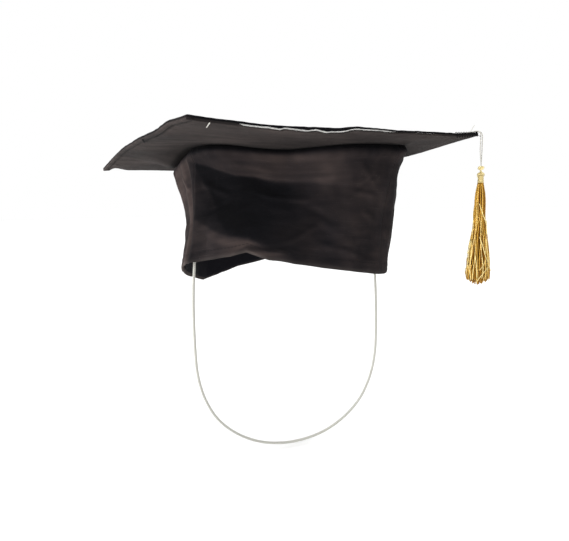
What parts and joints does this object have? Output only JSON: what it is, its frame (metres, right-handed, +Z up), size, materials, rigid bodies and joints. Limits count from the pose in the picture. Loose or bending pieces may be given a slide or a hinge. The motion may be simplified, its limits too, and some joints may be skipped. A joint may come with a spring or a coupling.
{
  "type": "graduation cap",
  "caption": "Cloth-covered square-topped academic cap with a soft crown, a tassel that turns on its centre button, and an elastic chin strap.",
  "frame": {"origin": "middle of the head opening, at the mean height of the crown's hem", "axes": "+Z up through the crown, +X and +Y along the board's edges; the tassel hangs at the +X -Y corner"},
  "size_m": [0.2516, 0.2516, 0.2903],
  "materials": {
    "black_cloth": "matte woven cotton mix, brownish black",
    "lining_cloth": "matte thin lining, blue black",
    "white_card": "smooth white card",
    "button_steel": "plain zinc-plated steel",
    "gold_thread": "shiny rayon thread, gold",
    "white_thread": "shiny white twisted thread",
    "elastic": "braided round elastic, grey white"
  },
  "bodies": {
    "cap": {"under_cover": "black_cloth", "board_card": "white_card", "top_cover": "black_cloth", "crown_panel_far": "black_cloth", "crown_panel_left": "black_cloth", "crown_panel_near": "black_cloth", "crown_panel_right": "black_cloth", "crown_lining_far": "lining_cloth", "crown_lining_left": "lining_cloth", "crown_lining_near": "lining_cloth", "crown_lining_right": "lining_cloth", "hem_facing": "lining_cloth", "ceiling_lining": "lining_cloth", "stud_washer": "button_steel", "button_stud": "button_steel", "button_back": "button_steel", "button_shell": "black_cloth", "elastic_knot_left": "elastic", "elastic_knot_right": "elastic"},
    "tassel_cord": {"tassel_loop": "white_thread", "tassel_thread_left": "white_thread", "tassel_thread_right": "white_thread"},
    "tassel_hanger": {"tassel_hanger_left": "white_thread", "tassel_hanger_right": "white_thread", "tassel_knot": "gold_thread"},
    "tassel": {"tassel_head": "gold_thread", "tassel_binding": "gold_thread", "tassel_skirt": "gold_thread"},
    "chin_strap": {"chin_elastic": "elastic"}
  },
  "joints": [
    {"name": "tassel_turn", "type": "hinge", "parent": "cap", "child": "tassel_cord", "pos_m": [-0.023, -0.007, 0.1016], "axis": [0, 0, 1], "continuous": true},
    {"name": "tassel_swing_out", "type": "hinge", "parent": "tassel_cord", "child": "tassel_hanger", "pos_m": [0.09898, -0.12898, 0.0984], "axis": [-0.7071, -0.7071, 0], "range_deg": [-14, 80]},
    {"name": "tassel_swing_side", "type": "hinge", "parent": "tassel_hanger", "child": "tassel", "pos_m": [0.09898, -0.12898, 0.0775], "axis": [0.7071, -0.7071, 0], "range_deg": [-45, 45]},
    {"name": "strap_swing", "type": "hinge", "parent": "cap", "child": "chin_strap", "pos_m": [-0.0022, 0.0013, 0.013], "axis": [0.9676, -0.2527, 0], "range_deg": [-20, 45]}
  ]
}
